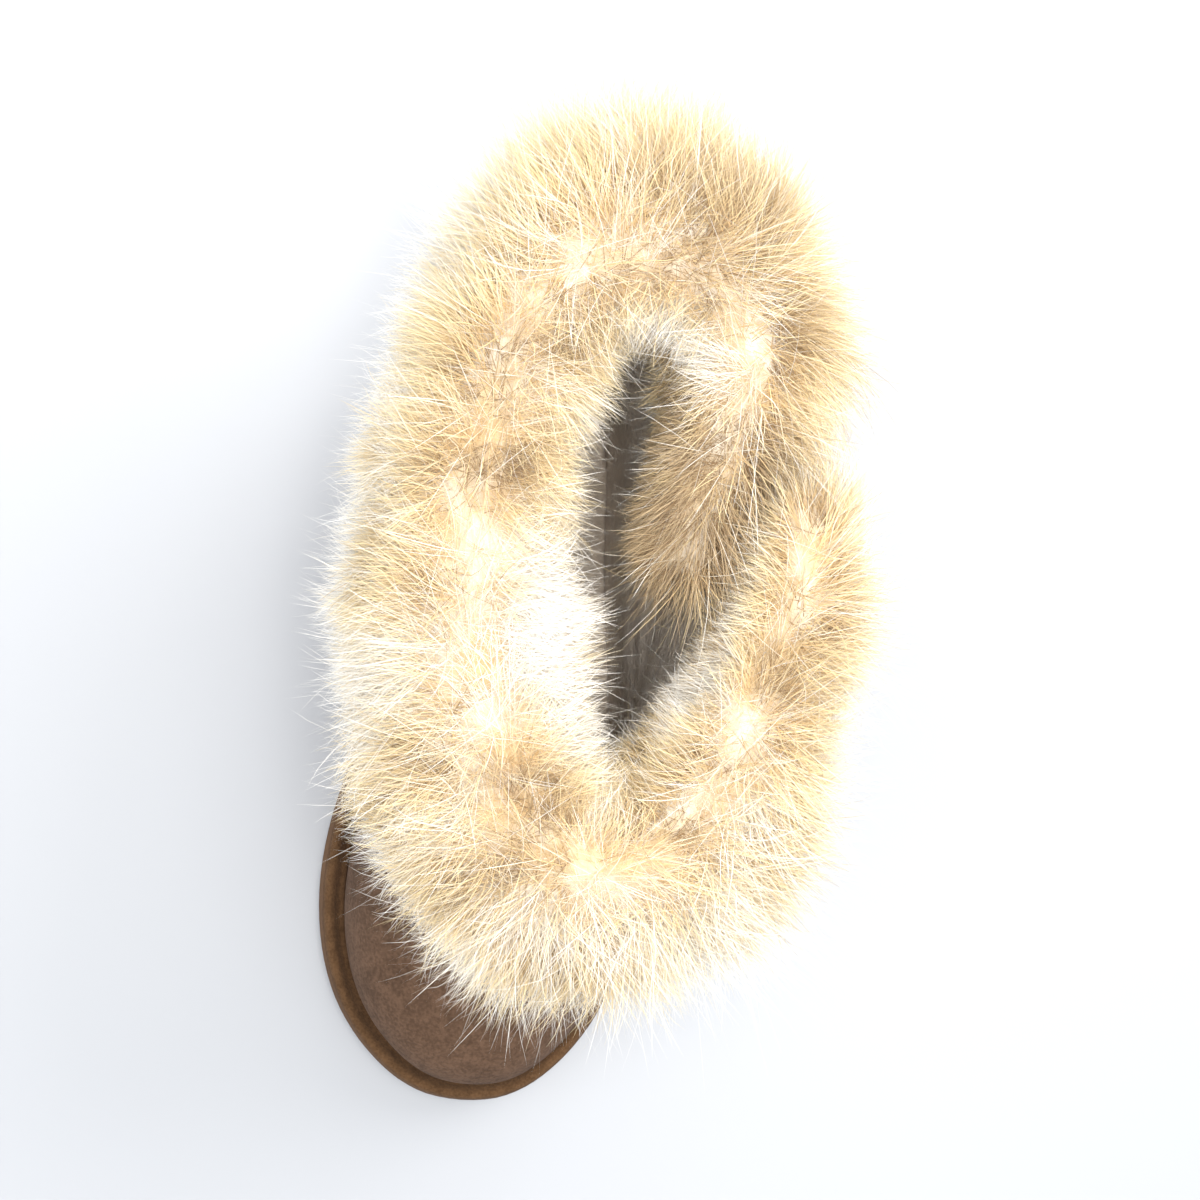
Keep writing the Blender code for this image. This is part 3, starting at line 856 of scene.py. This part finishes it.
furShape = {
    "seed": 11,
    "clumps": 7000,
    # strands, pieces, steps, width, shares of the full length, pull to the clump, own stray, shift of tint
    "coats": {
        "underFur": (112000, 2, 2, 0.00022, (0.50, 0.90), 0.26, 0.34, -0.08),
        "topFur": (58000, 3, 4, 0.00016, (0.70, 1.16), 0.36, 0.20, 0.04),
        "guardFur": (15000, 1, 4, 0.00012, (0.85, 1.30), 0.0, 0.50, 0.40),
    },
    # lengths on the crest, on the outer skirt and on the inner side
    "crestLength": 0.026,
    "outerLength": 0.030,
    "innerLength": 0.016,
    "crestStray": 2.1,  # how much wilder the hair lies on the crest
    "crestLie": 0.62,  # how much flatter
    "tint": 0.45,
    "drift": 0.75,
    "crestDrift": 0.45,  # how much stronger the drifts are on the crest
    "tuftDrift": 3.4,  # the same for the narrow drifts, which part the crest into tufts
    "sweep": 1.3,  # on the crest whole tufts lie over to one side
    "sweepScale": 34.0,
    "partWidth": 0.60,  # steepness where the hair is back to lying down the slope
    "bend": 0.66,  # how far a hair curls aside towards its tip
    "driftScale": 48.0,
    "opening": ((0.020, 0.015), (0.004, -0.085)),  # ends of the long middle line of the opening
    # White and gold patches, two of them painted shade on the rear flap: place, reach, how far towards white
    # (+) or gold (-)
    "patches": [
        ((-0.0120, -0.0600, 0.220), 0.021, 0.80),
        ((0.0038, -0.0722, 0.215), 0.014, 0.60),
        ((-0.0280, -0.0550, 0.220), 0.011, 0.45),
        ((-0.0416, -0.0828, 0.205), 0.014, 0.30),
        ((-0.0187, -0.0476, 0.222), 0.013, 0.40),
        ((-0.0473, -0.0060, 0.205), 0.011, 0.55),
        ((-0.0534, -0.0404, 0.175), 0.016, 0.45),
        ((-0.0539, -0.0741, 0.165), 0.018, 0.50),
        ((-0.0450, -0.1125, 0.140), 0.020, 0.40),
        ((-0.0060, -0.1600, 0.125), 0.024, 0.40),
        ((0.0110, 0.0280, 0.218), 0.013, 1.10),
        ((0.0235, 0.0430, 0.222), 0.014, -0.45),
        ((0.0330, -0.0430, 0.208), 0.012, 0.90),
        ((0.0250, -0.0650, 0.205), 0.011, 0.80),
        ((0.0682, -0.0232, 0.190), 0.020, 0.40),
        ((-0.0263, -0.0992, 0.222), 0.008, 0.45),
        ((0.0424, -0.0754, 0.210), 0.009, 0.45),
        ((-0.0395, -0.0331, 0.222), 0.013, -0.35),
        ((-0.0485, -0.0188, 0.222), 0.013, -0.30),
        ((-0.0388, -0.0496, 0.222), 0.009, -0.35),
        ((-0.0326, -0.0847, 0.220), 0.009, -0.30),
        ((-0.0173, -0.0980, 0.215), 0.013, -0.30),
        ((0.0157, -0.1072, 0.205), 0.013, -0.20),
        ((-0.0234, 0.0002, 0.222), 0.016, -0.15),
        ((-0.0394, 0.0506, 0.200), 0.018, -0.10),
        ((-0.0071, 0.0369, 0.225), 0.012, -0.20),
        ((0.0359, 0.0694, 0.210), 0.020, -0.10),
        ((0.0473, 0.0354, 0.220), 0.012, -0.35),
        ((0.0490, -0.0078, 0.220), 0.010, -0.05),
        ((0.0476, -0.0335, 0.218), 0.012, 0.10),
        ((0.0470, -0.0958, 0.210), 0.018, -0.15),
        ((0.0212, -0.1055, 0.215), 0.014, -0.20),
        # Painted shade: these two darken the rear flap, which lies down inside the opening, to deep gold
        ((0.0290, 0.0040, 0.200), 0.017, -1.00),
        ((0.0240, -0.0250, 0.200), 0.018, -1.10),
        ((0.0560, -0.0100, 0.215), 0.012, 0.30),
        ((-0.0440, -0.1180, 0.143), 0.029, 1.30),
        ((-0.0260, -0.1380, 0.142), 0.030, 1.50),
        ((-0.0020, -0.1470, 0.142), 0.030, 1.50),
        ((0.0240, -0.1470, 0.142), 0.027, 1.20),
        ((0.0440, -0.1350, 0.136), 0.020, 0.50),
    ],
    # The hem turns white, most of all on the inner side of the foot and over the toes
    "hemTop": 0.190,
    "hemFade": 0.040,
    "hemWhite": (0.34, 0.50),
    # Combing: place, reach, pull
    "combing": [
        ((0.0320, 0.0000, 0.200), 0.026, (-1.0, -2.0, -1.0)),
        ((0.0240, -0.0360, 0.200), 0.016, (-0.8, -0.6, -1.2)),
        ((0.0080, 0.0260, 0.215), 0.012, (-0.3, -1.0, -0.2)),
        ((0.0000, 0.0750, 0.200), 0.035, (0.0, 0.5, 0.9)),
        ((0.0450, 0.0700, 0.200), 0.025, (0.3, 0.4, 0.8)),
        ((0.0000, -0.1400, 0.150), 0.035, (0.2, -0.8, 0.0)),
        ((0.0640, -0.0120, 0.200), 0.018, (0.2, 1.6, 0.2)),
        ((0.0580, 0.0240, 0.190), 0.014, (0.6, -1.0, 0.2)),
    ],
    # Where the hair stands out instead of lying down: place, reach, amount
    "raised": [
        ((0.0660, 0.0160, 0.180), 0.026, 0.75),
        ((0.0000, 0.0850, 0.185), 0.045, 0.50),
        ((0.0550, 0.0650, 0.185), 0.030, 0.45),
        ((-0.0420, 0.0680, 0.180), 0.032, 0.80),
        ((0.0580, -0.1100, 0.155), 0.034, 0.95),
        ((0.0470, -0.1380, 0.145), 0.032, 1.00),
        ((0.0020, -0.0050, 0.205), 0.018, 0.45),
        ((-0.0020, -0.0330, 0.205), 0.018, 0.45),
        ((-0.0070, -0.0620, 0.205), 0.018, 0.45),
    ],
    # Trimming: place, reach, share of the length that is left
    "trims": [
        ((0.0110, 0.0100, 0.195), 0.016, 0.50),
        ((0.0220, -0.0500, 0.195), 0.012, 0.35),
        ((0.0180, -0.0200, 0.190), 0.016, 1.02),
        ((0.0380, -0.0520, 0.190), 0.014, 0.50),
        ((0.0780, -0.0220, 0.190), 0.017, 0.40),
        ((0.0640, 0.0220, 0.185), 0.018, 1.55),
        ((0.0580, -0.1120, 0.160), 0.034, 1.50),
        ((0.0470, -0.1380, 0.148), 0.032, 1.45),
        ((-0.0400, 0.0650, 0.185), 0.032, 1.40),
        ((0.0000, 0.0800, 0.190), 0.040, 1.28),
        ((0.0020, -0.0050, 0.205), 0.018, 1.15),
        ((-0.0020, -0.0330, 0.205), 0.018, 1.20),
        ((-0.0070, -0.0620, 0.205), 0.018, 1.25),
    ],
    "hemDense": 0.90,  # how much denser the roots stand at the hem
    "deepThin": 0.55,  # how much thinner inside the boot
    "hemFine": 0.25,  # how much finer a hair is at the hem
    "innerFoot": (0.03, 0.05),  # x where the hem starts to whiten, and the width over which it does
    "lift": (0.65, 1.15),  # how steeply a hair leaves the skin
    "firstLie": 0.5,  # how far it leans along the lie from the start
    "flow": (0.8, 1.2),  # how far it lies down at its end
    "stand": 0.18,  # how far it still stands off the skin there
    "sag": 0.30,
    "endStray": 1.1,
    "bendPower": 0.8,
    "narrowDrift": (3.3, 0.4),  # scale and size of the narrow drifts, in broad ones
    "curlScale": 1.6,  # the same for the curl
    "ownCurl": 0.24,
    "sweepFade": 0.8,  # how much of the sweep is gone on the slopes
    "tintDrift": 0.58,
    "speckScale": 170.0,
    "specks": (0.34, 0.75),  # on the slopes, and how much more on the crest
    "ownTint": 0.10,
    "guideStray": 1.6,  # a clump's middle hair strays this much more
    "holdPower": 1.25,
    "hold": (0.4, 1.0),
    "clumpWidth": 0.25,
    "widths": (0.75, 1.25),
    "taper": (0.55, 1.5),  # share of the width that is lost towards the tip, and how late
    "uvHalf": 0.003,  # half width of a strand in its UV map
    "shortest": 0.3,  # of its length, where the box cuts a hair
    # out of the 10 mm that fur may stand past the box
    "proud": 0.0085,  # room past the boot's box for the fur, besides its side share
    "sideShare": 0.03,  # the room for fur that each side of the box adds
    "lowest": 0.02,
    "insideRise": 2,  # how soon skin that faces the opening counts as inside
    "tintSpan": (0.01, 0.99),
    "innerFootTrim": 0.30,  # how much shorter the hair is on the inner side of the foot
}


def readSkin(piece):
    # Corners, smooth normals and areas of the furred quads
    mesh = piece.data
    spots = np.empty(len(mesh.vertices) * 3)
    mesh.vertices.foreach_get("co", spots)
    spots = spots.reshape(-1, 3)
    normals = np.empty(len(mesh.vertices) * 3, np.float32)
    mesh.vertex_normals.foreach_get("vector", normals)
    normals = normals.reshape(-1, 3).astype(float)
    quads = np.array([face.vertices[:] for face in mesh.polygons if face.material_index == 1])
    a, b, c, d = (spots[quads[:, i]] for i in range(4))
    area = np.linalg.norm(np.cross(c - a, d - b), axis=1) / 2
    return spots, normals, quads, area


def unit(vectors):
    return vectors / np.maximum(np.linalg.norm(vectors, axis=1), 1e-9)[:, None]


def crestShare(normals):
    # 1 where the skin faces up, on the crest, and 0 on a wall
    return 1 - np.linalg.norm(normals[:, :2], axis=1)


def hemShare(points):
    # 0 above the hem and 1 at its lower edge
    return np.clip((furShape["hemTop"] - points[:, 2]) / furShape["hemFade"], 0, 1)


def sowRoots(skin, count, draw):
    # Roots over the furred skin, closest at the hem, and the skin's normal at each
    spots, normals, quads, area = skin
    middles = spots[quads].mean(axis=1)
    _, _, facing = lieOfHair(middles, unit(normals[quads].mean(axis=1)))
    hem = hemShare(middles)
    inside = np.clip(facing * furShape["insideRise"], 0, 1)
    dense = area * (1 + furShape["hemDense"] * hem * (1 - inside))
    dense = dense * (1 - furShape["deepThin"] * hem * inside)
    faces = quads[draw.choice(len(quads), count, p=dense / dense.sum())]
    u, v = draw.random(count)[:, None], draw.random(count)[:, None]
    shares = [(1 - u) * (1 - v), u * (1 - v), u * v, (1 - u) * v]
    roots = sum(spots[faces[:, i]] * share for i, share in enumerate(shares))
    return roots, unit(sum(normals[faces[:, i]] * share for i, share in enumerate(shares)))


def lieOfHair(roots, normals):
    # Direction down the slope of the skin, how steep it is, and how far it faces the opening
    flat = np.linalg.norm(normals[:, :2], axis=1)
    out = normals[:, :2] / np.maximum(flat, 1e-6)[:, None]
    steep = np.clip(flat / furShape["partWidth"], 0, 1)[:, None]
    lie = np.column_stack([out * normals[:, 2:3], -flat]) * steep
    sweep = wander(roots, furShape["sweepScale"], seed=5) * furShape["sweep"]
    lie += sweep * (1 - furShape["sweepFade"] * steep)
    start, end = (np.array(point) for point in furShape["opening"])
    line = end - start
    share = np.clip((roots[:, :2] - start) @ line / (line @ line), 0, 1)
    inward = start + share[:, None] * line - roots[:, :2]
    inward /= np.maximum(np.linalg.norm(inward, axis=1), 1e-6)[:, None]
    facing = np.sum(out * inward, axis=1) * flat
    for place, reach, pull in furShape["combing"]:
        lie += nearness(roots, place, reach)[:, None] * np.array(pull)
    lie -= normals * np.sum(lie * normals, axis=1)[:, None]
    return unit(lie), flat, facing


def wander(points, scale, seed):
    # Smooth random vectors over space
    shift = Vector((seed * 3.1, seed * 7.7, seed * 1.3))
    return np.array([noise.noise_vector(Vector(point) * scale + shift) for point in points])


def nearest(points, centres):
    tree = kdtree.KDTree(len(centres))
    for i, centre in enumerate(centres):
        tree.insert(centre, i)
    tree.balance()
    return np.array([tree.find(point)[1] for point in points])


def patchTint(roots):
    tint = np.full(len(roots), furShape["tint"])
    for place, reach, amount in furShape["patches"]:
        tint += amount * nearness(roots, place, reach)
    hem = hemShare(roots)
    side, fade = furShape["innerFoot"]
    innerFoot = np.clip((side - roots[:, 0]) / fade, 0, 1)
    everywhere, extra = furShape["hemWhite"]
    return tint + hem * (everywhere + extra * innerFoot)


def layStrands(roots, normals, length, steps, lift, flow, stray, curl):
    # Points of each strand, bending from its lift off the skin into the lie of the hair
    lie, flat, _ = lieOfHair(roots, normals)
    start = unit(normals * lift[:, None] + lie * furShape["firstLie"] + stray)
    down = np.array([0.0, 0.0, -1.0])
    raised = sum(amount * nearness(roots, place, reach) for place, reach, amount in furShape["raised"])
    sag = furShape["sag"] * flat * np.clip(1 - raised, 0, 1)
    end = lie * flow[:, None] + normals * (furShape["stand"] + raised)[:, None]
    end = unit(end + down * sag[:, None] + stray * furShape["endStray"] + curl)
    points = [roots]
    for k in range(steps):
        share = ((k + 0.5) / steps) ** furShape["bendPower"]
        direction = unit(start * (1 - share) + end * share)
        points.append(points[-1] + direction * (length / steps)[:, None])
    return np.stack(points, axis=1)


def furLengths(roots, normals):
    _, flat, facing = lieOfHair(roots, normals)
    side = np.where(facing > 0, furShape["innerLength"], furShape["outerLength"])
    length = furShape["crestLength"] * (1 - flat) + side * flat
    length *= 1 - furShape["innerFootTrim"] * np.clip(-normals[:, 0], 0, 1)
    for place, reach, left in furShape["trims"]:
        length *= 1 - (1 - left) * nearness(roots, place, reach)
    return length


def keepInside(points, low, high):
    # Shortens the strands that would leave the allowed box
    root = points[:, :1]
    over = np.maximum(points - high, low - points).max(axis=(1, 2))
    reach = np.abs(points - root).max(axis=(1, 2))
    share = np.clip(1 - np.maximum(over, 0) / np.maximum(reach, 1e-6), furShape["shortest"], 1)
    return root + (points - root) * share[:, None, None]


def strandMesh(name, points, widths, tints, draw, finish):
    # Flat tapering ribbons: two points at each step and one at the tip
    count, rows = points.shape[:2]
    steps = rows - 1
    run = unit((points[:, -1] - points[:, 0]))
    side = unit(np.cross(run, unit(draw.normal(size=(count, 3)))))
    verts = np.empty((count, 2 * steps + 1, 3))
    uvs = np.empty((count, 2 * steps + 1, 2))
    half = furShape["uvHalf"]
    lost, late = furShape["taper"]
    for k in range(steps):
        taper = 1.0 - lost * (k / steps) ** late
        offset = side * (widths * taper / 2)[:, None]
        verts[:, 2 * k] = points[:, k] - offset
        verts[:, 2 * k + 1] = points[:, k] + offset
        uvs[:, 2 * k] = np.column_stack([tints - half, np.full(count, k / steps)])
        uvs[:, 2 * k + 1] = np.column_stack([tints + half, np.full(count, k / steps)])
    verts[:, -1] = points[:, -1]
    uvs[:, -1] = np.column_stack([tints, np.full(count, 1.0)])
    first = np.arange(count)[:, None] * (2 * steps + 1)
    pattern = []
    for k in range(steps - 1):
        pattern += [2 * k, 2 * k + 1, 2 * k + 3, 2 * k + 2]
    pattern += [2 * steps - 2, 2 * steps - 1, 2 * steps]
    corners = (first + np.array(pattern)).ravel()
    sizes = np.tile(np.array([4] * (steps - 1) + [3]), count)
    mesh = bpy.data.meshes.new(name)
    mesh.vertices.add(count * (2 * steps + 1))
    mesh.vertices.foreach_set("co", verts.ravel())
    mesh.loops.add(len(corners))
    mesh.loops.foreach_set("vertex_index", corners)
    mesh.polygons.add(len(sizes))
    mesh.polygons.foreach_set("loop_start", np.concatenate([[0], np.cumsum(sizes)[:-1]]))
    layer = mesh.uv_layers.new(name="OFBake")
    layer.data.foreach_set("uv", uvs.reshape(-1, 2)[corners].ravel())
    mesh.update(calc_edges=True)
    mesh.shade_smooth()
    mesh.materials.append(finish)
    piece = bpy.data.objects.new(name, mesh)
    scene.collection.objects.link(piece)
    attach(piece, "root")
    return piece


def furBox():
    # Room for the fur, round the boot's box
    low, high = (np.array(corner) for corner in cadBox)
    room = furShape["sideShare"] * (high - low) + furShape["proud"]
    low, high = low - room, high + room
    low[2] = furShape["lowest"]
    return low, high


def hairSway(roots, crest, own, draw):
    # Hair lies in drifts: broad and narrow ones that neighbours share, and each strand's own stray
    own = own * (1 + furShape["crestStray"] * crest)
    broad = wander(roots, furShape["driftScale"], seed=1) * furShape["drift"]
    broad *= 1 + furShape["crestDrift"] * crest[:, None]
    scale, size = furShape["narrowDrift"]
    narrow = wander(roots, furShape["driftScale"] * scale, seed=2) * furShape["drift"] * size
    narrow *= 1 + furShape["tuftDrift"] * crest[:, None]
    return broad + narrow + draw.normal(size=roots.shape) * own[:, None]


def hairTint(roots, crest, draw):
    # White and gold patches as listed, drifts of colour, and specks that are strongest on the crest
    drift = np.array([noise.noise(Vector(point) * furShape["driftScale"]) for point in roots])
    speck = np.array([noise.noise(Vector(point) * furShape["speckScale"]) for point in roots])
    everywhere, more = furShape["specks"]
    speck *= everywhere + more * crest
    own = draw.normal(scale=furShape["ownTint"], size=len(roots))
    return patchTint(roots) + drift * furShape["tintDrift"] + speck + own


def growStrands(roots, normals, steps, shares, own, draw):
    count = len(roots)
    sway = hairSway(roots, crestShare(normals), own, draw)
    length = furLengths(roots, normals) * draw.uniform(*shares, count)
    lift = draw.uniform(*furShape["lift"], count) * (1 - furShape["crestLie"] * crestShare(normals))
    curl = wander(roots, furShape["driftScale"] * furShape["curlScale"], seed=3) * furShape["bend"]
    curl += draw.normal(scale=furShape["ownCurl"], size=roots.shape)
    flow = draw.uniform(*furShape["flow"], count)
    return layStrands(roots, normals, length, steps, lift, flow, sway, curl)


def gatherClumps(strands, guides, roots, seeds, pull, draw):
    # Draws each strand towards the middle hair of its clump, more and more towards the tip
    steps = strands.shape[1] - 1
    near = nearest(roots, seeds)
    hold = pull * (np.arange(steps + 1) / steps)[None, :, None] ** furShape["holdPower"]
    hold = hold * draw.uniform(*furShape["hold"], len(roots))[:, None, None]
    target = guides[near] + (roots - seeds[near])[:, None] * furShape["clumpWidth"]
    strands = strands * (1 - hold) + target * hold
    strands[:, 0] = roots
    return strands


def makeFur(skin):
    draw = np.random.default_rng(furShape["seed"])
    noise.seed_set(furShape["seed"])  # noise_vector follows this seed too
    low, high = furBox()
    seeds, facing = sowRoots(skin, furShape["clumps"], draw)
    for name, (count, pieces, steps, width, shares, pull, own, shift) in furShape["coats"].items():
        roots, normals = sowRoots(skin, count, draw)
        strands = growStrands(roots, normals, steps, shares, own, draw)
        if pull:
            guides = growStrands(seeds, facing, steps, shares, own * furShape["guideStray"], draw)
            strands = gatherClumps(strands, guides, roots, seeds, pull, draw)
        strands = keepInside(strands, low, high)
        tint = np.clip(hairTint(roots, crestShare(normals), draw) + shift, *furShape["tintSpan"])
        widths = width * draw.uniform(*furShape["widths"], count)
        widths = widths * (1 - furShape["hemFine"] * hemShare(roots))
        finish = finishes["guard" if name == "guardFur" else "hair"]
        order = draw.permutation(count)
        for i, part in enumerate(np.array_split(order, pieces)):
            label = f"{name}{i + 1}" if pieces > 1 else name
            strandMesh(label, strands[part], widths[part], tint[part], draw, finish)
        print(name, count, "strands")


pelt = makePelt()
makeFur(readSkin(pelt))
print("fur made")

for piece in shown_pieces():
    piece.data.calc_loop_triangles()
    print(piece.name, len(piece.data.loop_triangles))
